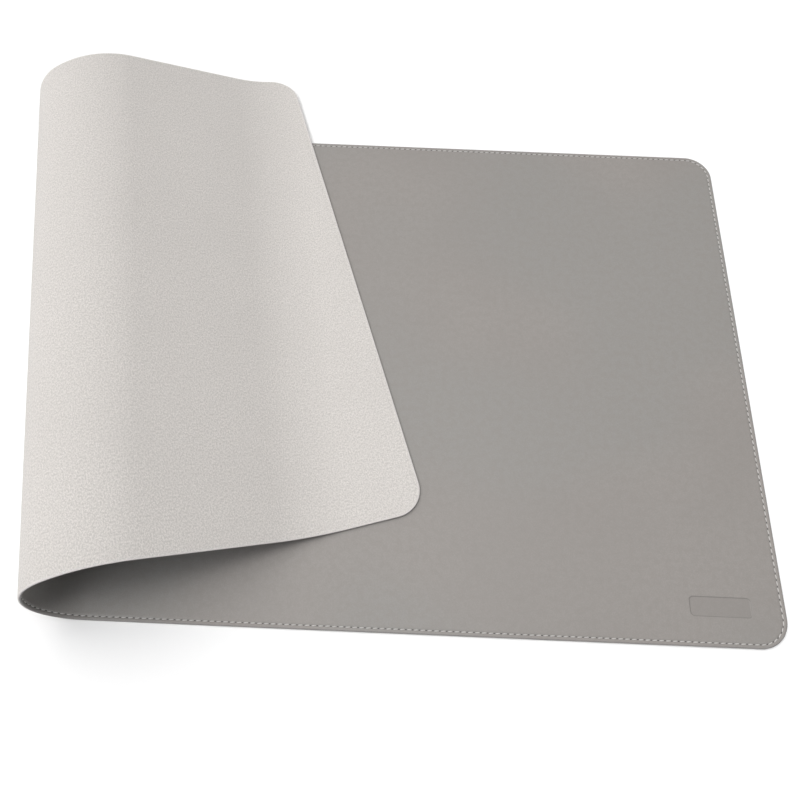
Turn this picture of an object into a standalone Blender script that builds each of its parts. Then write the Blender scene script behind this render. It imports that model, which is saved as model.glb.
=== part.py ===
"""Two-sided desk mat, 800 x 400 x 2 mm, with its left end curled over onto its own top.

The mat is two leathercloth sheets bonded back to back and lock-stitched all round: a grey face and
a pale backing, a needle thread in the face and a bobbin thread in the backing.  The sheets bend
about parallel creases, so the curl is a chain of flat strips hinged to each other: a flat base,
four strips round the nose of the curl, two over its crown, a straight ramp, a landing strip and
the free flap.  Unrolling every crease lays the mat flat.

Frame: metres, +Z up, the mat rests on z = 0.  +X runs along the length, +Y across the width.  The
origin lies under the middle of the part of the mat that stays flat.
"""
import math

import bpy
import bmesh

# ---- driving dimensions, in metres and radians -------------------------------------------------
LENGTH = 0.800
WIDTH = 0.400
CORNER_RADIUS = 0.020
SHEET = 0.00085                      # thickness of each leathercloth sheet
BOND = 0.0003                        # space taken by the bond between the two sheets

FLAT_LENGTH = 0.450                  # flat length on the near edge, before the mat lifts off
SKEW = math.radians(8.4)             # angle of the creases to the mat's short edges
NOSE_RADIUS = 0.031                  # tight first part of the curl
NOSE_TURN = math.radians(156)
NOSE_STRIPS = 4
CROWN_RADIUS = 0.066                 # wide second part, over the top
CROWN_TURN = math.radians(52)
CROWN_STRIPS = 2
LANDING_RADIUS = 0.110               # reverse bend where the flap settles on the base
FLAP_CLEARANCE = 0.0003              # between the base's face and the flap's face
STRIP_GAP = 0.0009                   # open joint between neighbouring strips

STITCH_INSET = 0.0027                # stitch line from the edge
THREAD_DIAMETER = 0.00045
GROOVE_WIDTH = 0.0009
GROOVE_DEPTH = 0.00065

MARK_LENGTH = 0.041                  # plain pressed panel near the right front corner
MARK_WIDTH = 0.0135
MARK_DEPTH = 0.0003
MARK_RADIUS = 0.003
MARK_FROM_END = 0.0425
MARK_FROM_FRONT = 0.026

CORNER_STEPS = 6
MARK_STEPS = 3

# ---- derived dimensions ------------------------------------------------------------------------
THICKNESS = 2 * SHEET + BOND
NOSE_STRIP_TURN = NOSE_TURN / NOSE_STRIPS
CROWN_STRIP_TURN = CROWN_TURN / CROWN_STRIPS
FOLD_TURN = NOSE_TURN + CROWN_TURN
LANDING_TURN = FOLD_TURN - math.pi
HALF_GAP = STRIP_GAP / 2
CUT_ALLOWANCE = 0.001                # how far cutters run past what they cut


def ramp_length():
    """Straight run between the crown and the landing that puts the flap on the base."""
    nose_rise = NOSE_RADIUS * (1 - math.cos(NOSE_TURN))
    crown_rise = CROWN_RADIUS * (math.cos(NOSE_TURN) - math.cos(FOLD_TURN))
    landing_drop = LANDING_RADIUS * (1 - math.cos(LANDING_TURN))
    height = nose_rise + crown_rise - landing_drop - (THICKNESS + FLAP_CLEARANCE)
    return height / math.sin(LANDING_TURN)


def chord_share(turn):
    """Chord of an arc as a share of its length."""
    half = abs(turn) / 2
    return math.sin(half) / half if half else 1.0


def body_table():
    """One entry for each rigid piece of the mat, from the base to the flap.

    Distances run along the sheet, square to the creases.  A strip of the curl is the chord of its
    arc, with a crease at each end, so 'scale' makes it a little shorter than the sheet it holds.
    'start' and 'end' bound the piece and 'turn' is the bend of the crease at its start.
    """
    plan = [("base", FLAT_LENGTH, 0.0)]
    for k in range(1, NOSE_STRIPS + 1):
        plan.append((f"nose_{k}", NOSE_RADIUS * NOSE_STRIP_TURN, NOSE_STRIP_TURN))
    for k in range(1, CROWN_STRIPS + 1):
        plan.append((f"crown_{k}", CROWN_RADIUS * CROWN_STRIP_TURN, CROWN_STRIP_TURN))
    plan.append(("ramp", ramp_length(), 0.0))
    plan.append(("landing", LANDING_RADIUS * LANDING_TURN, -LANDING_TURN))
    flap_start = sum(length for _, length, _ in plan)
    plan.append(("flap", LENGTH - flap_start, 0.0))

    bodies = []
    start = 0.0
    turn_before = 0.0
    for name, length, turn in plan:
        bodies.append({"name": name, "start": start, "end": start + length,
                       "scale": chord_share(turn), "turn": (turn_before + turn) / 2})
        start += length
        turn_before = turn
    return bodies


def clip_limits(body, inset):
    """The piece's two limits, set in from its creases; its free ends run past the mat."""
    start = body["start"] + inset
    end = body["end"] - inset
    if body["name"] == "base":
        start = -WIDTH * math.sin(SKEW) - CUT_ALLOWANCE
    if body["name"] == "flap":
        end = LENGTH + CUT_ALLOWANCE
    return start, end


# ---- outlines in the plane of the sheet --------------------------------------------------------
def rounded_rectangle(x0, x1, y0, y1, radius, steps):
    """Anticlockwise points of a rectangle with round corners."""
    corners = [(x1 - radius, y0 + radius, -90), (x1 - radius, y1 - radius, 0),
               (x0 + radius, y1 - radius, 90), (x0 + radius, y0 + radius, 180)]
    points = []
    for centre_x, centre_y, first in corners:
        for step in range(steps + 1):
            angle = math.radians(first + 90 * step / steps)
            points.append((centre_x + radius * math.cos(angle),
                           centre_y + radius * math.sin(angle)))
    return points


def square_to_creases(points):
    """Turn (length, width) points to (distance square to the creases, distance along them)."""
    c, s = math.cos(SKEW), math.sin(SKEW)
    return [(x * c - y * s, x * s + y * c) for x, y in points]


def sheet_outline(inset):
    """Outline of the mat, or of a line set in from its edge."""
    points = rounded_rectangle(inset, LENGTH - inset, inset, WIDTH - inset,
                               CORNER_RADIUS - inset, CORNER_STEPS)
    return square_to_creases(points)


def crossing(a, b, limit):
    """Point of segment a-b at distance 'limit' square to the creases."""
    share = (limit - a[0]) / (b[0] - a[0])
    return (limit, a[1] + share * (b[1] - a[1]))


def clip_polygon(points, start, end):
    """The part of a convex polygon between two lines parallel to the creases."""
    for limit, side in ((start, 1), (end, -1)):
        kept = []
        for a, b in zip(points, points[1:] + points[:1]):
            a_in = side * (a[0] - limit) >= 0
            b_in = side * (b[0] - limit) >= 0
            if a_in:
                kept.append(a)
            if a_in != b_in:
                kept.append(crossing(a, b, limit))
        points = kept
    return points


def clip_loop(points, start, end):
    """The runs of a closed loop between two lines parallel to the creases."""
    runs = []
    run = []
    for a, b in zip(points, points[1:] + points[:1]):
        limits = sorted((x for x in (start, end) if (a[0] - x) * (b[0] - x) < 0),
                        key=lambda x: abs(x - a[0]))
        inside = start <= a[0] <= end
        if inside:
            run.append(a)
        for limit in limits:
            run.append(crossing(a, b, limit))
            if inside:
                runs.append(run)
                run = []
            inside = not inside
    if run and runs and start <= points[0][0] <= end:
        runs[0] = run + runs[0]
    elif run:
        runs.append(run)
    return [r for r in runs if len(r) > 1]


def ribbon(points, width):
    """Outline of a band of the given width along a run of points."""
    sides = ([], [])
    for i, (x, y) in enumerate(points):
        before = points[max(i - 1, 0)]
        after = points[min(i + 1, len(points) - 1)]
        ways = []
        for a, b in ((before, (x, y)), ((x, y), after)):
            length = math.hypot(b[0] - a[0], b[1] - a[1])
            if length > 0:
                ways.append(((b[0] - a[0]) / length, (b[1] - a[1]) / length))
        way_x = sum(w[0] for w in ways)
        way_y = sum(w[1] for w in ways)
        norm = math.hypot(way_x, way_y)
        way_x, way_y = way_x / norm, way_y / norm
        spread = width / 2 / (way_x * ways[0][0] + way_y * ways[0][1])
        sides[0].append((x + way_y * spread, y - way_x * spread))
        sides[1].append((x - way_y * spread, y + way_x * spread))
    return sides[0] + sides[1][::-1]


# ---- Blender helpers ---------------------------------------------------------------------------
def clear_scene():
    for obj in list(bpy.data.objects):
        bpy.data.objects.remove(obj, do_unlink=True)


def new_collection(name):
    collection = bpy.data.collections.new(name)
    bpy.context.scene.collection.children.link(collection)
    return collection


def new_material(name, colour, roughness):
    material = bpy.data.materials.new(name)
    material.use_nodes = True
    shader = material.node_tree.nodes["Principled BSDF"]
    shader.inputs["Base Color"].default_value = (*colour, 1.0)
    shader.inputs["Roughness"].default_value = roughness
    shader.inputs["Metallic"].default_value = 0.0
    material.diffuse_color = (*colour, 1.0)
    return material


def curve_to_mesh(obj, collection):
    """Replace a curve object by a welded mesh object in the same place."""
    bpy.context.view_layer.update()
    evaluated = obj.evaluated_get(bpy.context.evaluated_depsgraph_get())
    mesh = bpy.data.meshes.new_from_object(evaluated)
    work = bmesh.new()
    work.from_mesh(mesh)
    bmesh.ops.remove_doubles(work, verts=work.verts, dist=1e-6)
    work.to_mesh(mesh)
    work.free()
    name = obj.name
    matrix = obj.matrix_world.copy()
    bpy.data.objects.remove(obj, do_unlink=True)
    solid = bpy.data.objects.new(name, mesh)
    solid.matrix_world = matrix
    collection.objects.link(solid)
    return solid


def new_curve(name, points, dimensions, closed):
    """A poly curve through (x, y) points; y is measured against the creases' direction."""
    curve = bpy.data.curves.new(name, "CURVE")
    curve.dimensions = dimensions
    curve.resolution_u = 1
    curve.render_resolution_u = 0
    spline = curve.splines.new("POLY")
    spline.points.add(len(points) - 1)
    for point, (x, y) in zip(spline.points, points):
        point.co = (x, -y, 0, 1)
    spline.use_cyclic_u = closed
    return curve


def flat_solid(name, points, low, high, collection):
    """An outline filled and extruded between two heights."""
    curve = new_curve(name, points, "2D", True)
    curve.fill_mode = "BOTH"
    curve.extrude = (high - low) / 2
    obj = bpy.data.objects.new(name, curve)
    collection.objects.link(obj)
    solid = curve_to_mesh(obj, collection)
    for vertex in solid.data.vertices:
        vertex.co.z += (low + high) / 2
    return solid


def thread_solid(name, points, height, collection):
    """A round thread along a run of points at one height."""
    curve = new_curve(name, points, "3D", False)
    curve.fill_mode = "FULL"
    curve.bevel_depth = THREAD_DIAMETER / 2
    curve.bevel_resolution = 1
    curve.use_fill_caps = True
    obj = bpy.data.objects.new(name, curve)
    collection.objects.link(obj)
    solid = curve_to_mesh(obj, collection)
    for vertex in solid.data.vertices:
        vertex.co.z += height
    solid.data.shade_smooth()
    solid.data.set_sharp_from_angle(angle=math.radians(60))
    return solid


def cut(obj, cutter):
    modifier = obj.modifiers.new(cutter.name, "BOOLEAN")
    modifier.operation = "DIFFERENCE"
    modifier.solver = "EXACT"
    modifier.object = cutter


def make_cutter(name, points, low, high, parent):
    cutter = flat_solid(name, points, low, high, cutters)
    cutter.parent = parent
    cutter.display_type = "WIRE"
    cutter.hide_render = True
    return cutter


# ---- the mat -----------------------------------------------------------------------------------
def local(points, body):
    """Sheet points in the frame of one piece."""
    return [((x - body["start"]) * body["scale"], y) for x, y in points]


def layer_heights(side):
    """Lower and upper height of a sheet, from the mat's middle plane; side is +1 for the face."""
    inner = side * BOND / 2
    outer = side * THICKNESS / 2
    return min(inner, outer), max(inner, outer)


def groove_heights(side):
    floor = side * (THICKNESS / 2 - GROOVE_DEPTH)
    clear = side * (THICKNESS / 2 + CUT_ALLOWANCE)
    return min(floor, clear), max(floor, clear)


def add_piece(obj, parent, material):
    obj.parent = parent
    obj.data.materials.clear()
    obj.data.materials.append(material)
    return obj


def run_label(body, index, count):
    """The runs of a strip are told apart by the edge they follow."""
    if count == 1:
        return body["name"]
    return body["name"] + ("_near" if index == 0 else "_far")


def add_threads(body, parent, side, kind):
    """The stretch of one thread that lies in this piece, one node for each edge it runs along."""
    runs = clip_loop(sheet_outline(STITCH_INSET), *clip_limits(body, HALF_GAP))
    runs.sort(key=lambda run: sum(y for _, y in run) / len(run))
    height = side * (THICKNESS / 2 - THREAD_DIAMETER / 2)
    for index, run in enumerate(runs):
        name = f"{run_label(body, index, len(runs))}_{kind}_thread"
        thread = thread_solid(name, local(run, body), height, parts)
        add_piece(thread, parent, thread_materials[kind])


def add_layer(body, parent, side, kind):
    """One sheet of one piece, with the stitch groove pressed into its outer side."""
    outline = clip_polygon(sheet_outline(0.0), *clip_limits(body, HALF_GAP))
    low, high = layer_heights(side)
    layer = flat_solid(f"{body['name']}_{kind}", local(outline, body), low, high, parts)
    add_piece(layer, parent, sheet_materials[kind])
    groove_low, groove_high = groove_heights(side)
    runs = clip_loop(sheet_outline(STITCH_INSET), *clip_limits(body, -HALF_GAP))
    for index, run in enumerate(runs):
        band = ribbon(local(run, body), GROOVE_WIDTH)
        name = f"cut_{body['name']}_{kind}_{index}"
        cut(layer, make_cutter(name, band, groove_low, groove_high, parent))
    return layer


def add_mark(face, body, parent):
    """A plain pressed panel, with no lettering."""
    panel = rounded_rectangle(MARK_FROM_END - MARK_LENGTH / 2, MARK_FROM_END + MARK_LENGTH / 2,
                              MARK_FROM_FRONT - MARK_WIDTH / 2, MARK_FROM_FRONT + MARK_WIDTH / 2,
                              MARK_RADIUS, MARK_STEPS)
    top = THICKNESS / 2
    points = local(square_to_creases(panel), body)
    cut(face, make_cutter("cut_mark", points, top - MARK_DEPTH, top + CUT_ALLOWANCE, parent))


def add_pivot(body, before, parent):
    """An empty on the piece's own crease; the base's stands at the right front corner."""
    pivot = bpy.data.objects.new(f"pivot_{body['name']}", None)
    parts.objects.link(pivot)
    if parent is None:
        pivot.location = (FLAT_LENGTH / 2, -WIDTH / 2, THICKNESS / 2)
        pivot.rotation_euler = (0, 0, math.pi + SKEW)
    else:
        pivot.parent = parent
        pivot.location = ((before["end"] - before["start"]) * before["scale"], 0, 0)
        pivot.rotation_euler = (0, -body["turn"], 0)
    return pivot


def build():
    pivot = None
    before = None
    for body in body_table():
        pivot = add_pivot(body, before, pivot)
        face = add_layer(body, pivot, 1, "face")
        add_layer(body, pivot, -1, "backing")
        add_threads(body, pivot, 1, "needle")
        add_threads(body, pivot, -1, "bobbin")
        if body["name"] == "base":
            add_mark(face, body, pivot)
        before = body


clear_scene()
parts = new_collection("desk_mat")
cutters = new_collection("desk_mat_cutters")
sheet_materials = {
    "face": new_material("grey_leathercloth", (0.325, 0.305, 0.292), 0.55),
    "backing": new_material("pale_suede", (0.640, 0.610, 0.575), 0.90),
}
thread_materials = {
    "needle": new_material("face_thread", (0.540, 0.520, 0.490), 0.70),
    "bobbin": new_material("backing_thread", (0.620, 0.590, 0.560), 0.70),
}
build()
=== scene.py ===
"""Looks of a two-sided desk mat whose left end is curled over onto its own top.

Both sheets of the mat are cut from one flat pattern, 800 x 400 mm with round corners.  The pattern
is meshed flat, split at the creases of the frame's bodies, and laid on the middle surface of the
curled mat.  Each sheet gets its thickness, rounded edge, pressed stitch line and needle holes from
a height over that surface, which a Solidify modifier builds.
"""
import math

import bmesh
import bpy
import numpy as np
from mathutils import Matrix, Vector


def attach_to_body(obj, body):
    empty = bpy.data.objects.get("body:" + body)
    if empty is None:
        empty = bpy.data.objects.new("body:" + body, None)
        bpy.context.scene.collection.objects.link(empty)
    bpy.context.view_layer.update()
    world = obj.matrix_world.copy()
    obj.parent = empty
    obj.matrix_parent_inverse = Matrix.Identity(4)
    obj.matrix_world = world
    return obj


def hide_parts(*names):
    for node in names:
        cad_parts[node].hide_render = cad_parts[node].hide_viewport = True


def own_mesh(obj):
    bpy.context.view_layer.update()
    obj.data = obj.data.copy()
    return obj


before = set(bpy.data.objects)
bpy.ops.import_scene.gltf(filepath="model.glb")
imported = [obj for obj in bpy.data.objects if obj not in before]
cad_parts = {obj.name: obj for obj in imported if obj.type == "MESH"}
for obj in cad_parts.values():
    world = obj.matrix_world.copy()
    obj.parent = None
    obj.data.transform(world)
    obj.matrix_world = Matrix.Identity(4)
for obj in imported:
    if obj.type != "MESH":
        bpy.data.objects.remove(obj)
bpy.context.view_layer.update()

# ---- the mat, in metres and radians (the frame's own dimensions) --------------------------------
LENGTH = 0.800
WIDTH = 0.400
CORNER_RADIUS = 0.020
HALF_THICKNESS = 0.001

FLAT_LENGTH = 0.450
SKEW = math.radians(8.4)
NOSE_RADIUS = 0.031
NOSE_TURN = math.radians(156)
NOSE_STRIPS = 4
CROWN_RADIUS = 0.066
CROWN_TURN = math.radians(52)
CROWN_STRIPS = 2
LANDING_RADIUS = 0.110
FLAP_CLEARANCE = 0.0003

RIGHT_END = FLAT_LENGTH / 2
FRONT_EDGE = -WIDTH / 2
FOLD_TURN = NOSE_TURN + CROWN_TURN
LANDING_TURN = FOLD_TURN - math.pi

# ---- edge, stitches and pressed panel ------------------------------------------------------------
STITCH_INSET = 0.0027
STITCH_PITCH = 0.0044
STEPS_PER_STITCH = 4
RIM_INSETS = (0.0, 0.00002, 0.00008, 0.00022, 0.00045, 0.0009, 0.0014, 0.0018, 0.0022, 0.00245,
              0.0027, 0.00295, 0.0032, 0.0036, 0.0041, 0.0050)
WALL_HEIGHT = 0.00042                # square part of a sheet's cut edge, over the middle surface
EDGE_ROUND = 0.0009                  # width of its rounded part
TROUGH_REACH = 0.0014                # half width of the trough that the stitches pull in
TROUGH_DEPTH = {1: 0.00022, -1: 0.00008}        # on the face (1) and on the backing (-1)
HOLE_DEPTH = {1: 0.00040, -1: 0.00012}
HOLE_REACH = 0.0004                  # half width of a needle hole, across the seam

THREAD_WIDTH = 0.00070
THREAD_REACH = 0.00145               # half the length of a stitch that shows
THREAD_BED = {1: 0.00062, -1: 0.00046}          # its underside, over the middle surface
THREAD_HEIGHT = 0.00050
THREAD_SLANT = math.radians(7)
THREAD_ROUND = 0.93                  # how much of a half circle the dome's cross-section takes in
THREAD_DIP = 0.72                    # share of its height that a stitch loses at its ends
THREAD_TAPER = 0.35                  # share of its width that it loses there
THREAD_ROWS = (-1, -0.86, -0.55, 0, 0.55, 0.86, 1)      # of corners, along half its length
THREAD_COLUMNS = (-1, -0.62, 0, 0.62, 1)                # and across half its width

PANEL_LENGTH = 0.041
PANEL_WIDTH = 0.0135
PANEL_DEPTH = 0.00030
PANEL_RADIUS = 0.003
PANEL_FROM_END = 0.0425
PANEL_FROM_FRONT = 0.026
PANEL_WALL = 0.0007                  # width of its sloping wall
PANEL_GRID = 0.00035

# ---- mesh spacing --------------------------------------------------------------------------------
FLAT_STEP = 0.025
CURVE_STEP = math.radians(1.6)       # turn between two rulings of a curved strip
SEAM_ROW = 0.00008                   # thin row at a strip's ends, so that neighbours shade alike
MERGE = 1e-8
ON_CREASE = 1e-6                     # nearer than this to a crease is on it
LARGE_FACE = 1e-5                    # area, in square metres, over which a face is sliced further


# ---- the curl ------------------------------------------------------------------------------------
def ramp_length():
    """Straight run between the crown and the landing that sets the flap down on the base."""
    nose_rise = NOSE_RADIUS * (1 - math.cos(NOSE_TURN))
    crown_rise = CROWN_RADIUS * (math.cos(NOSE_TURN) - math.cos(FOLD_TURN))
    landing_drop = LANDING_RADIUS * (1 - math.cos(LANDING_TURN))
    height = nose_rise + crown_rise - landing_drop - (2 * HALF_THICKNESS + FLAP_CLEARANCE)
    return height / math.sin(LANDING_TURN)


def make_strips():
    """The mat's pieces along its length: body, limits along the sheet, and how each one bends."""
    plan = [("base", FLAT_LENGTH, 0.0)]
    for k in range(1, NOSE_STRIPS + 1):
        turn = NOSE_TURN / NOSE_STRIPS
        plan.append((f"nose_{k}", NOSE_RADIUS * turn, turn))
    for k in range(1, CROWN_STRIPS + 1):
        turn = CROWN_TURN / CROWN_STRIPS
        plan.append((f"crown_{k}", CROWN_RADIUS * turn, turn))
    plan.append(("ramp", ramp_length(), 0.0))
    plan.append(("landing", LANDING_RADIUS * LANDING_TURN, -LANDING_TURN))
    plan.append(("flap", LENGTH - sum(row[1] for row in plan), 0.0))

    made = []
    start, across, up, slope = 0.0, 0.0, 0.0, 0.0
    for body, length, turn in plan:
        made.append({"body": body, "start": start, "end": start + length, "turn": turn,
                     "across": across, "up": up, "slope": slope})
        chord = length * np.sinc(turn / 2 / math.pi)
        across += chord * math.cos(slope + turn / 2)
        up += chord * math.sin(slope + turn / 2)
        slope += turn
        start += length
    return made


STRIPS = make_strips()


def square_to_creases(s, u):
    """Distance from the right end's front corner, square to the creases."""
    return s * math.cos(SKEW) - u * math.sin(SKEW)


def along_creases(s, u):
    """Distance from the same corner, along the creases."""
    return s * math.sin(SKEW) + u * math.cos(SKEW)


def strip_of(square):
    """The number of the strip that each sheet distance, square to the creases, lies in."""
    starts = np.array([strip["start"] for strip in STRIPS])
    return np.clip(np.searchsorted(starts, square, side="right") - 1, 0, len(STRIPS) - 1)


def folded(s, u):
    """Places on the curled mat's middle surface: s from the right end, u from the front edge."""
    square, along = square_to_creases(s, u), along_creases(s, u)
    number = strip_of(square)
    start, across, up, slope, turn, end = (
        np.array([strip[key] for strip in STRIPS])[number]
        for key in ("start", "across", "up", "slope", "turn", "end"))
    run = square - start
    half = turn * run / (end - start) / 2
    chord = run * np.sinc(half / math.pi)
    across = across + chord * np.cos(slope + half)
    up = up + chord * np.sin(slope + half)
    x = RIGHT_END - across * math.cos(SKEW) - along * math.sin(SKEW)
    y = FRONT_EDGE - across * math.sin(SKEW) + along * math.cos(SKEW)
    return np.column_stack((x, y, HALF_THICKNESS + up))


# ---- the edge ------------------------------------------------------------------------------------
def seam_length():
    """Length of the stitch line, all round."""
    straights = 2 * (LENGTH + WIDTH - 4 * CORNER_RADIUS)
    return straights + 2 * math.pi * (CORNER_RADIUS - STITCH_INSET)


STITCHES = round(seam_length() / STITCH_PITCH)
PITCH = seam_length() / STITCHES


def edge_frame(distance):
    """For a distance along the stitch line: the point CORNER_RADIUS in from the edge, and the
    heading out from it to the edge."""
    x, y = CORNER_RADIUS, CORNER_RADIUS
    arc = (CORNER_RADIUS - STITCH_INSET) * math.pi / 2
    heading = 0.0
    for side in (LENGTH, WIDTH, LENGTH, WIDTH):
        run = side - 2 * CORNER_RADIUS
        if distance < run:
            return (x + distance * math.cos(heading), y + distance * math.sin(heading),
                    heading - math.pi / 2)
        distance -= run
        x += run * math.cos(heading)
        y += run * math.sin(heading)
        if distance < arc:
            return x, y, heading - math.pi / 2 + distance / (CORNER_RADIUS - STITCH_INSET)
        distance -= arc
        heading += math.pi / 2
    return x, y, heading - math.pi / 2


def rim_level(inset, side):
    """Height of a sheet's surface over the middle surface, at an inset from the mat's edge."""
    from_top = 1 - min(inset / EDGE_ROUND, 1)
    level = WALL_HEIGHT + (HALF_THICKNESS - WALL_HEIGHT) * math.sqrt(1 - from_top ** 2)
    from_seam = min(abs(inset - STITCH_INSET) / TROUGH_REACH, 1)
    return level - TROUGH_DEPTH[side] * math.cos(from_seam * math.pi / 2) ** 2


def flat_mesh(side):
    """One sheet's flat pattern as a bmesh: rings round the edge, and one face inside them, all
    sliced at the creases and then finely enough to bend."""
    work = bmesh.new()
    height = work.verts.layers.float.new("height")
    inset_layer = work.verts.layers.float.new("inset")
    hole_layer = work.verts.layers.float.new("hole")
    work.verts.layers.float.new("press")
    count = STITCHES * STEPS_PER_STITCH
    rings = []
    for inset in RIM_INSETS:
        level = rim_level(inset, side)
        open_share = max(1 - abs(inset - STITCH_INSET) / HOLE_REACH, 0)
        ring = []
        for k in range(count):
            x, y, out = edge_frame(k * PITCH / STEPS_PER_STITCH)
            reach = CORNER_RADIUS - inset
            vertex = work.verts.new((x + reach * math.cos(out), y + reach * math.sin(out), 0))
            hole = open_share if k % STEPS_PER_STITCH == 0 else 0.0
            vertex[height] = level - HOLE_DEPTH[side] * hole
            vertex[inset_layer] = inset
            vertex[hole_layer] = hole
            ring.append(vertex)
        rings.append(ring)
    for outer, inner in zip(rings, rings[1:]):
        for k in range(count):
            after = (k + 1) % count
            work.faces.new((outer[k], outer[after], inner[after], inner[k]))
    work.faces.new(rings[-1])
    slice_strips(work)
    if side > 0:
        press_panel(work)
    return work


def geometry_of(faces):
    """Faces with their edges and corners, as bisect_plane wants them."""
    found = set(faces)
    for face in faces:
        found.update(face.edges)
        found.update(face.verts)
    return list(found)


def slice_at(work, geometry, place, way):
    """Slice with the plane through a place, square to a direction, and give all the geometry."""
    return bmesh.ops.bisect_plane(work, geom=geometry, dist=MERGE, plane_co=place,
                                  plane_no=way)["geom"]


def slice_square(work, geometry, square):
    """Slice along the ruling at one distance square to the creases."""
    way = (math.cos(SKEW), -math.sin(SKEW), 0)
    return slice_at(work, geometry, [square * part for part in way], way)


def slice_strips(work):
    """Slice a sheet into its strips, and each strip into rows that can bend."""
    whole = work.verts[:] + work.edges[:] + work.faces[:]
    for strip in STRIPS[1:]:
        whole = slice_square(work, whole, strip["start"])
    faces_of = {k: [] for k in range(len(STRIPS))}
    for face in work.faces:
        centre = face.calc_center_median()
        faces_of[int(strip_of(square_to_creases(centre.x, centre.y)))].append(face)
    for k, strip in enumerate(STRIPS):
        length = strip["end"] - strip["start"]
        geometry = geometry_of(faces_of[k])
        if strip["turn"]:
            rows = math.ceil(abs(strip["turn"]) / CURVE_STEP)
            cuts = [strip["start"] + length * j / rows for j in range(1, rows)]
            cuts += [strip["start"] + SEAM_ROW, strip["end"] - SEAM_ROW]
        else:
            low = strip["start"] - WIDTH * math.sin(SKEW) * (strip["body"] == "base")
            rows = math.ceil((strip["end"] - low) / FLAT_STEP)
            cuts = [low + (strip["end"] - low) * j / rows for j in range(1, rows)]
        for cut in cuts:
            geometry = slice_square(work, geometry, cut)
    inner = [face for face in work.faces if len(face.verts) > 4 or face.calc_area() > LARGE_FACE]
    geometry = geometry_of([face for face in inner if is_inside(face)])
    way = (math.sin(SKEW), math.cos(SKEW), 0)
    reach = along_creases(LENGTH, WIDTH)
    for j in range(1, math.ceil(reach / FLAT_STEP)):
        geometry = slice_at(work, geometry, [j * FLAT_STEP * part for part in way], way)


def is_inside(face):
    """Whether a face lies inside the innermost ring."""
    centre = face.calc_center_median()
    return edge_inset(centre.x, centre.y) > RIM_INSETS[-1]


def edge_inset(s, u):
    """How far inside the mat's edge a flat point lies."""
    from_corner = (abs(s - LENGTH / 2) - LENGTH / 2 + CORNER_RADIUS,
                   abs(u - WIDTH / 2) - WIDTH / 2 + CORNER_RADIUS)
    outside = math.hypot(max(from_corner[0], 0), max(from_corner[1], 0))
    return CORNER_RADIUS - outside - min(max(from_corner), 0)


def press_panel(work):
    """A plain panel pressed into the sheet, on a fine grid of its own."""
    height, press = (work.verts.layers.float[key] for key in ("height", "press"))
    margin = 2 * PANEL_GRID
    reach_s = PANEL_LENGTH / 2 + margin
    reach_u = PANEL_WIDTH / 2 + margin
    near = [face for face in work.faces
            if any(abs(v.co.x - PANEL_FROM_END) < reach_s + FLAT_STEP
                   and abs(v.co.y - PANEL_FROM_FRONT) < reach_u + FLAT_STEP for v in face.verts)
            and is_inside(face)]
    geometry = geometry_of(near)
    sides = [(PANEL_FROM_END, reach_s, (1, 0, 0)), (PANEL_FROM_FRONT, reach_u, (0, 1, 0))]
    for middle, reach, way in sides:
        for offset in (-reach, reach):
            place = [(middle + offset) * part for part in way]
            geometry = slice_at(work, geometry, place, way)
    window = []
    for face in work.faces:
        centre = face.calc_center_median()
        if (abs(centre.x - PANEL_FROM_END) < reach_s
                and abs(centre.y - PANEL_FROM_FRONT) < reach_u):
            window.append(face)
    geometry = geometry_of(window)
    for middle, reach, way in sides:
        rows = round(2 * reach / PANEL_GRID)
        for j in range(1, rows):
            place = [(middle - reach + 2 * reach * j / rows) * part for part in way]
            geometry = slice_at(work, geometry, place, way)
    for vertex in work.verts:
        gap_s = abs(vertex.co.x - PANEL_FROM_END) - PANEL_LENGTH / 2 + PANEL_RADIUS
        gap_u = abs(vertex.co.y - PANEL_FROM_FRONT) - PANEL_WIDTH / 2 + PANEL_RADIUS
        outside = (math.hypot(max(gap_s, 0), max(gap_u, 0)) + min(max(gap_s, gap_u), 0)
                   - PANEL_RADIUS)
        share = min(max(-outside / PANEL_WALL, 0), 1)
        vertex[press] = share * share * (3 - 2 * share)
        vertex[height] -= PANEL_DEPTH * vertex[press]


# ---- pieces --------------------------------------------------------------------------------------
def new_piece(name, places, faces, heights, attributes, material):
    """A piece on the middle surface, raised to its heights by Solidify."""
    mesh = bpy.data.meshes.new(name)
    mesh.from_pydata([tuple(place) for place in places], [], faces)
    mesh.shade_smooth()
    for key, values in attributes.items():
        layer = mesh.attributes.new(key, "FLOAT_VECTOR", "POINT")
        layer.data.foreach_set("vector", np.asarray(values, np.float32).ravel())
    mesh.materials.append(material)
    obj = bpy.data.objects.new(name, mesh)
    bpy.context.scene.collection.objects.link(obj)
    group = obj.vertex_groups.new(name="height")
    top = max(heights)
    levels = np.round(np.asarray(heights) / top, 4)
    for level in np.unique(levels):
        group.add([int(k) for k in np.flatnonzero(levels == level)], float(level), "REPLACE")
    solid = obj.modifiers.new("thickness", "SOLIDIFY")
    solid.thickness = top
    solid.offset = 1
    solid.vertex_group = "height"
    return obj


def attach(obj, number):
    """Ride on the strip's body; a curved strip gets a mesh of its own."""
    strip = STRIPS[number]
    if strip["turn"]:
        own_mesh(obj)
    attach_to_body(obj, strip["body"])


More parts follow.
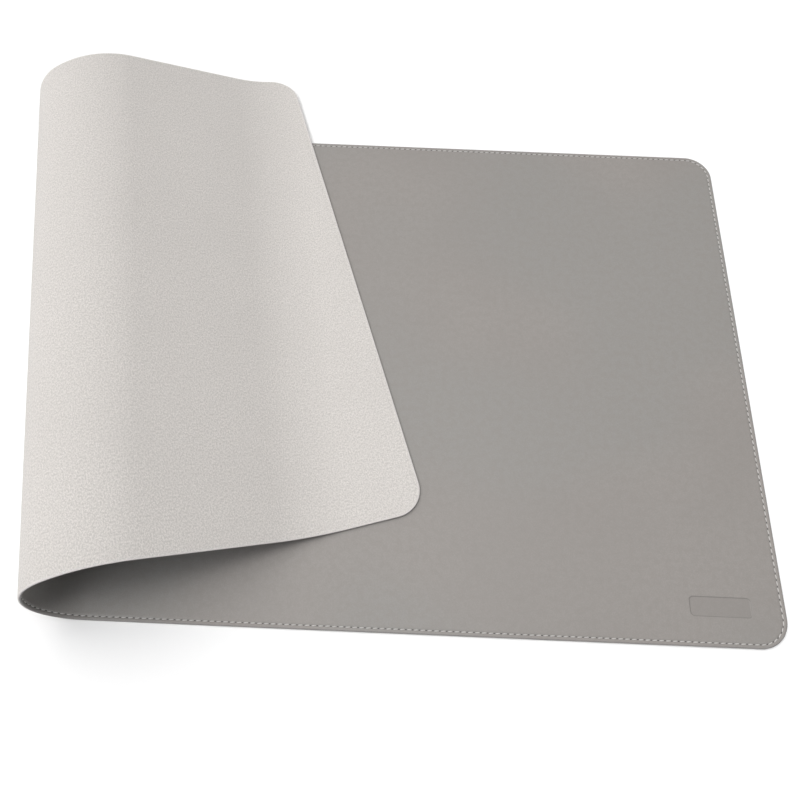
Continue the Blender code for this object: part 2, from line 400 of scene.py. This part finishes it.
def add_sheet(kind, side, material):
    """One of the mat's two sheets, in one piece for each body."""
    work = flat_mesh(side)
    work.verts.ensure_lookup_table()
    layers = [work.verts.layers.float[key] for key in ("height", "inset", "hole", "press")]
    points = np.array([vertex.co[:2] for vertex in work.verts])
    height, inset, hole, press = (np.array([v[layer] for v in work.verts]) for layer in layers)
    squares = square_to_creases(points[:, 0], points[:, 1])
    faces_of = {k: [] for k in range(len(STRIPS))}
    areas = {k: 0.0 for k in range(len(STRIPS))}
    for face in work.faces:
        corners = [vertex.index for vertex in face.verts]
        number = int(strip_of(squares[corners].mean()))
        faces_of[number].append(corners[::-side])
        areas[number] += face.calc_area()
    work.free()

    made = []
    for number, strip in enumerate(STRIPS):
        used = sorted({k for corners in faces_of[number] for k in corners})
        place_of = {k: j for j, k in enumerate(used)}
        faces = [[place_of[k] for k in corners] for corners in faces_of[number]]
        s, u = points[used, 0], points[used, 1]
        flat_place = np.column_stack((s, u, np.full(len(used), float(side))))
        rim = np.column_stack((inset[used], hole[used], press[used]))
        obj = new_piece(f"{strip['body']}_{kind}_sheet", folded(s, u), faces, height[used],
                        {"flat_place": flat_place, "rim": rim}, material)
        sharpen_ends(obj.data, squares[used], strip)
        attach(obj, number)
        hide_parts(f"{strip['body']}_{kind}")
        along = along_creases(s, u)
        size = (float(np.ptp(squares[used])), float(np.ptp(along)))
        made.append((obj, size, areas[number]))
    return made


def sharpen_ends(mesh, squares, strip):
    """Keep the ends that meet another strip out of the smooth shading."""
    at_end = np.zeros(len(squares), bool)
    for key in ("start", "end"):
        at_end |= np.abs(squares - strip[key]) < ON_CREASE
    for edge in mesh.edges:
        if at_end[list(edge.vertices)].all():
            edge.use_edge_sharp = True


def add_stitches(thread, side, material):
    """The lock stitches that show on one side, grouped by the body that they ride on."""
    along, across = np.meshgrid(THREAD_ROWS, THREAD_COLUMNS, indexing="ij")
    along, across = along.ravel(), across.ravel()
    profile = (np.sqrt(1 - (THREAD_ROUND * across) ** 2)
               * (1 - THREAD_DIP * np.abs(along) ** 3))
    narrow = 1 - THREAD_TAPER * along ** 2
    x = along * THREAD_REACH
    y = across * narrow * THREAD_WIDTH / 2
    slant = THREAD_SLANT * side
    x, y = (x * math.cos(slant) - y * math.sin(slant), x * math.sin(slant) + y * math.cos(slant))
    rows, columns = len(THREAD_ROWS), len(THREAD_COLUMNS)
    quads = [[i * columns + j, (i + 1) * columns + j, (i + 1) * columns + j + 1,
              i * columns + j + 1] for i in range(rows - 1) for j in range(columns - 1)]

    groups = {k: [] for k in range(len(STRIPS))}
    for k in range(STITCHES):
        foot_s, foot_u, out = edge_frame((k + 0.5) * PITCH)
        reach = CORNER_RADIUS - STITCH_INSET + y
        s = foot_s + reach * math.cos(out) - x * math.sin(out)
        u = foot_u + reach * math.sin(out) + x * math.cos(out)
        middle = square_to_creases(s.mean(), u.mean())
        groups[int(strip_of(middle))].append((k, s, u))

    for number, strip in enumerate(STRIPS):
        members = groups[number]
        s = np.concatenate([row[1] for row in members])
        u = np.concatenate([row[2] for row in members])
        faces = [[n * len(x) + corner for corner in quad][::side]
                 for n in range(len(members)) for quad in quads]
        twist = np.concatenate([np.column_stack((x, y, np.full(len(x), row[0] / STITCHES)))
                                for row in members])
        obj = new_piece(f"{strip['body']}_{thread}_stitches", folded(s, u), faces,
                        np.tile(profile * THREAD_HEIGHT, len(members)),
                        {"thread_place": twist}, material)
        lift = obj.modifiers.new("bed", "DISPLACE")
        lift.strength = THREAD_BED[side]
        lift.mid_level = 0
        obj.modifiers.move(1, 0)
        attach(obj, number)
        nodes = [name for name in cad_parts
                 if name.startswith(strip["body"] + "_") and name.endswith(f"{thread}_thread")]
        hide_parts(*nodes)


# ---- materials -----------------------------------------------------------------------------------
class Look:
    """A Principled material under construction, with short ways to add the nodes that feed it."""

    def __init__(self, name, roughness):
        self.material = bpy.data.materials.new(f"{name}_look")
        self.material.use_nodes = True
        self.nodes = self.material.node_tree.nodes
        self.links = self.material.node_tree.links
        self.shader = self.nodes["Principled BSDF"]
        self.shader.inputs["Roughness"].default_value = roughness

    def feed(self, socket, value):
        if isinstance(value, bpy.types.NodeSocket):
            self.links.new(value, socket)
        else:
            socket.default_value = value

    def attribute(self, name):
        node = self.nodes.new("ShaderNodeAttribute")
        node.attribute_name = name
        return node.outputs["Vector"]

    def part(self, vector, axis):
        node = self.nodes.new("ShaderNodeSeparateXYZ")
        self.feed(node.inputs[0], vector)
        return node.outputs[axis]

    def stretched(self, vector, shares):
        """A place with its parts scaled, so that a pattern made from it is drawn out."""
        node = self.nodes.new("ShaderNodeVectorMath")
        node.operation = "MULTIPLY"
        self.feed(node.inputs[0], vector)
        self.feed(node.inputs[1], shares)
        return node.outputs["Vector"]

    def noise(self, vector, scale, detail=2.0, roughness=0.5, distortion=0.0):
        node = self.nodes.new("ShaderNodeTexNoise")
        for key, value in (("Vector", vector), ("Scale", scale), ("Detail", detail),
                           ("Roughness", roughness), ("Distortion", distortion)):
            self.feed(node.inputs[key], value)
        return node.outputs["Fac"]

    def cells(self, vector, scale, randomness=1.0):
        node = self.nodes.new("ShaderNodeTexVoronoi")
        node.feature = "SMOOTH_F1"
        for key, value in (("Vector", vector), ("Scale", scale), ("Smoothness", 0.6),
                           ("Randomness", randomness)):
            self.feed(node.inputs[key], value)
        return node.outputs["Distance"]

    def math(self, operation, a, b=0.0):
        node = self.nodes.new("ShaderNodeMath")
        node.operation = operation
        self.feed(node.inputs[0], a)
        self.feed(node.inputs[1], b)
        return node.outputs[0]

    def span(self, value, low, high, to_low=0.0, to_high=1.0, smooth=True):
        node = self.nodes.new("ShaderNodeMapRange")
        node.interpolation_type = "SMOOTHSTEP" if smooth else "LINEAR"
        for socket, number in zip(node.inputs[:5], (value, low, high, to_low, to_high)):
            self.feed(socket, number)
        return node.outputs[0]

    def mix(self, share, a, b, blend="MIX"):
        node = self.nodes.new("ShaderNodeMix")
        node.data_type = "RGBA"
        node.blend_type = blend
        self.feed(node.inputs[0], share)
        self.feed(node.inputs[6], a)
        self.feed(node.inputs[7], b)
        return node.outputs[2]

    def bump(self, height, distance, strength, normal=None):
        node = self.nodes.new("ShaderNodeBump")
        node.inputs["Strength"].default_value = strength
        node.inputs["Distance"].default_value = distance
        self.feed(node.inputs["Height"], height)
        if normal is not None:
            self.feed(node.inputs["Normal"], normal)
        return node.outputs["Normal"]

    def finish(self, colour, roughness=None, normal=None):
        self.feed(self.shader.inputs["Base Color"], colour)
        if roughness is not None:
            self.feed(self.shader.inputs["Roughness"], roughness)
        if normal is not None:
            self.feed(self.shader.inputs["Normal"], normal)
        return self.material


def tone(colour, factor):
    """A colour made lighter or darker, with its alpha."""
    return (*(part * factor for part in colour), 1.0)


GREY = (0.276, 0.257, 0.2415)
PALE = (0.665, 0.634, 0.606)
COOL_GREY = (0.264, 0.257, 0.244)
PALE_EDGE = (0.690, 0.655, 0.640)
# dark colour of painted shade: on the face sheet's cut edge, and darker still in its needle holes
EDGE_AND_HOLE_SHADE = (0.150, 0.147, 0.150)
FACE_THREAD = (0.54, 0.525, 0.51)
BACKING_THREAD = (0.60, 0.57, 0.545)
NAP_LIE = 0.70                       # how far the nap is drawn out along the mat's width


def grey_leathercloth():
    """Smooth coated leathercloth: a fine pebbled grain, slight cloudiness, painted shade in the
    needle holes and on the cut edge, and a panel pressed a little darker and smoother."""
    look = Look("grey_leathercloth", 0.52)
    place = look.attribute("flat_place")
    rim = look.attribute("rim")
    press = look.part(rim, "Z")
    grain = look.cells(place, 1150.0)
    dust = look.noise(place, 2600.0, 2.0)
    mottle = look.noise(place, 210.0, 3.0, 0.6)
    cloud = look.noise(place, 9.0, 3.0)
    tint = look.noise(place, 5.0, 1.0)
    drift = look.span(cloud, 0.3, 0.7, 0.0, 1.0)
    colour = look.mix(drift, tone(GREY, 0.965), tone(GREY, 1.035))
    colour = look.mix(look.span(tint, 0.42, 0.60, 0.0, 0.8), colour, tone(COOL_GREY, 1.0))
    colour = look.mix(look.span(mottle, 0.60, 0.36, 0.0, 0.45), colour, tone(GREY, 0.90))
    pores = look.span(grain, 0.15, 0.62, 0.0, 0.30)
    colour = look.mix(pores, colour, tone(GREY, 0.80))
    colour = look.mix(look.math("MULTIPLY", press, 0.40), colour, tone(GREY, 0.82))
    wall = look.math("MULTIPLY", press, look.math("SUBTRACT", 1.0, press))
    colour = look.mix(look.math("MULTIPLY", wall, 2.4), colour, tone(GREY, 0.50))
    # painted shade: the cut edge is darkened where its wall stands in shade
    edge = look.span(look.part(rim, "X"), 0.0001, 0.0010, 0.45, 0.0)
    colour = look.mix(edge, colour, (*EDGE_AND_HOLE_SHADE, 1.0))
    # painted shade: the needle holes are darkened nearly to black
    hole = look.span(look.part(rim, "Y"), 0.10, 0.60, 0.0, 0.95)
    colour = look.mix(hole, colour, tone(EDGE_AND_HOLE_SHADE, 0.16))
    roughness = look.span(cloud, 0.25, 0.75, 0.50, 0.60, smooth=False)
    roughness = look.math("SUBTRACT", roughness, look.math("MULTIPLY", press, 0.08))
    normal = look.bump(grain, 0.00006, 0.55)
    normal = look.bump(dust, 0.00002, 0.35, normal)
    return look.finish(colour, roughness, normal)


def pale_suede():
    """Short-napped suede: fine pebbled pile in soft clumps, matt, with painted shade in the hollows
    of its clumps and pile and in its needle holes, and drawn out a little along the mat's width."""
    look = Look("pale_suede", 0.92)
    look.shader.inputs["Sheen Weight"].default_value = 0.12
    look.shader.inputs["Sheen Roughness"].default_value = 0.45
    place = look.attribute("flat_place")
    rim = look.attribute("rim")
    nap = look.stretched(place, (1.0, NAP_LIE, 1.0))
    clump = look.noise(nap, 1080.0, 2.5, 0.6, 0.2)
    pile = look.noise(nap, 2000.0, 2.0, 0.6)
    cloud = look.noise(place, 14.0, 3.0)
    colour = look.mix(look.span(cloud, 0.3, 0.7), tone(PALE, 1.02), tone(PALE, 1.06))
    # painted shade: the clumps are darkened where their bump is low
    hollow_shade = look.span(clump, 0.64, 0.34, 0.0, 1.0)
    colour = look.mix(hollow_shade, colour, tone(PALE, 0.74))
    # painted shade: the pile is darkened where its bump is low
    colour = look.mix(look.span(pile, 0.62, 0.38, 0.0, 0.55), colour, tone(PALE, 0.72))
    edge = look.span(look.part(rim, "X"), 0.0004, 0.0013, 0.75, 0.0)
    colour = look.mix(edge, colour, (*PALE_EDGE, 1.0))
    # painted shade: the needle holes are a little darker
    hole = look.span(look.part(rim, "Y"), 0.25, 0.85, 0.0, 0.25)
    colour = look.mix(hole, colour, tone(PALE, 0.45))
    roughness = look.span(pile, 0.3, 0.7, 0.86, 0.97, smooth=False)
    normal = look.bump(clump, 0.00035, 0.8)
    normal = look.bump(pile, 0.00010, 0.6, normal)
    return look.finish(colour, roughness, normal)


def sewing_thread(name, colour):
    """Twisted polyester thread: slanting plies, with painted shade in the grooves between them and
    a painted highlight on their crowns, and a few stray fibres.
    """
    look = Look(name, 0.62)
    place = look.attribute("thread_place")
    x, y = look.part(place, "X"), look.part(place, "Y")
    ply = look.math("SINE", look.math("ADD", look.math("MULTIPLY", x, 9000.0),
                                      look.math("MULTIPLY", y, 7000.0)))
    fibre = look.noise(place, 5000.0, 2.0)
    # painted shade in the ply grooves and painted highlight on the ply crowns
    shade = look.mix(look.span(ply, -1.0, 1.0), tone(colour, 0.82), tone(colour, 1.08))
    shade = look.mix(look.span(fibre, 0.4, 0.65, 0.0, 0.3), shade, tone(colour, 1.2))
    roughness = look.span(fibre, 0.3, 0.7, 0.55, 0.72, smooth=False)
    return look.finish(shade, roughness, look.bump(ply, 0.00006, 0.6))


# ---- stage ---------------------------------------------------------------------------------------
# The camera: its place in the frame, how it is turned, and its lens.
CAMERA_PLACE = (-0.0715, -0.2847, 0.5306)
CAMERA_PITCH = math.radians(67.3)    # below the horizon
CAMERA_YAW = math.radians(-0.71)     # clockwise from +Y
CAMERA_ROLL = math.radians(1.75)
CAMERA_LENS = 36.36                  # on a 36 mm sensor
CAMERA_SHIFT = (0.080, 0.044)

FLOOR_REACH = 40.0
FLOOR_COLOUR = (0.92, 0.92, 0.92, 1.0)
ROOM_LOW = (0.02, (0.95, 0.95, 0.95, 1.0))      # sine of the elevation, colour
ROOM_HIGH = (0.60, (0.09, 0.097, 0.110, 1.0))
KEY_PLACE = (-0.45, 0.36, 1.0)
KEY_ANGLE = math.radians(65)
KEY_STRENGTH = 2.12
KEY_COLOUR = (1.0, 0.985, 0.965)
FILL_PLACE = (-0.55, -0.42, 1.0)
FILL_ANGLE = math.radians(28)
FILL_STRENGTH = 0.98
FILL_COLOUR = (0.97, 0.985, 1.0)
LAMP_PLACE = (0.06, 0.02, 0.85)
LAMP_SIZE = 0.35
LAMP_STRENGTH = 1.5


def add_camera():
    """The camera, aimed by its pitch, yaw and roll."""
    ahead = Vector((math.sin(CAMERA_YAW) * math.cos(CAMERA_PITCH),
                    math.cos(CAMERA_YAW) * math.cos(CAMERA_PITCH), -math.sin(CAMERA_PITCH)))
    level = Vector((math.cos(CAMERA_YAW), -math.sin(CAMERA_YAW), 0))
    above = level.cross(ahead)
    right = level * math.cos(CAMERA_ROLL) + above * math.sin(CAMERA_ROLL)
    up = above * math.cos(CAMERA_ROLL) - level * math.sin(CAMERA_ROLL)
    data = bpy.data.cameras.new("camera")
    data.lens = CAMERA_LENS
    data.sensor_width = 36.0
    data.shift_x, data.shift_y = CAMERA_SHIFT
    camera = bpy.data.objects.new("camera", data)
    turn = Matrix((right, up, -ahead)).transposed()
    camera.matrix_world = Matrix.Translation(CAMERA_PLACE) @ turn.to_4x4()
    bpy.context.scene.collection.objects.link(camera)
    bpy.context.scene.camera = camera


def add_light(name, kind, place, strength, colour, size):
    """A light at a place, aimed at the mat: the size is a sun's angle or a disk's diameter."""
    data = bpy.data.lights.new(name, kind)
    data.energy = strength
    data.color = colour
    if kind == "SUN":
        data.angle = size
    else:
        data.shape = "DISK"
        data.size = size
    light = bpy.data.objects.new(name, data)
    light.location = place
    light.rotation_euler = (-Vector(place)).to_track_quat("-Z", "Y").to_euler()
    light.visible_camera = False
    bpy.context.scene.collection.objects.link(light)


def add_room():
    """White low down all round, and dimmer and cooler overhead, so that the key light tells."""
    world = bpy.data.worlds.new("room")
    world.use_nodes = True
    nodes, links = world.node_tree.nodes, world.node_tree.links
    heading = nodes.new("ShaderNodeTexCoord")
    split = nodes.new("ShaderNodeSeparateXYZ")
    ramp = nodes.new("ShaderNodeValToRGB")
    links.new(heading.outputs["Generated"], split.inputs[0])
    links.new(split.outputs["Z"], ramp.inputs["Fac"])
    links.new(ramp.outputs["Color"], nodes["Background"].inputs["Color"])
    low, high = ramp.color_ramp.elements
    low.position, low.color = ROOM_LOW
    high.position, high.color = ROOM_HIGH
    bpy.context.scene.world = world


def add_stage():
    """A pale floor in a bright room, under a broad sun from behind on the left, a narrower one
    from the front on the left, and a lamp over the middle."""
    mesh = bpy.data.meshes.new("floor")
    work = bmesh.new()
    bmesh.ops.create_grid(work, x_segments=1, y_segments=1, size=FLOOR_REACH)
    work.to_mesh(mesh)
    work.free()
    floor = bpy.data.objects.new("floor", mesh)
    bpy.context.scene.collection.objects.link(floor)
    look = Look("floor_paint", 0.85)
    mesh.materials.append(look.finish(FLOOR_COLOUR))
    add_room()
    add_light("key", "SUN", KEY_PLACE, KEY_STRENGTH, KEY_COLOUR, KEY_ANGLE)
    add_light("fill", "SUN", FILL_PLACE, FILL_STRENGTH, FILL_COLOUR, FILL_ANGLE)
    add_light("lamp", "AREA", LAMP_PLACE, LAMP_STRENGTH, KEY_COLOUR, LAMP_SIZE)
    bpy.context.scene.view_settings.view_transform = "Standard"


# ---- assembly ------------------------------------------------------------------------------------
add_camera()
add_stage()
for kind, side, slot, look in (("face", 1, "grey_leathercloth", grey_leathercloth()),
                               ("backing", -1, "pale_suede", pale_suede())):
    for piece, flat_size, flat_area in add_sheet(kind, side, look):
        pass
for thread, side, slot, colour in (("needle", 1, "face_thread", FACE_THREAD),
                                   ("bobbin", -1, "backing_thread", BACKING_THREAD)):
    add_stitches(thread, side, sewing_thread(slot, colour))
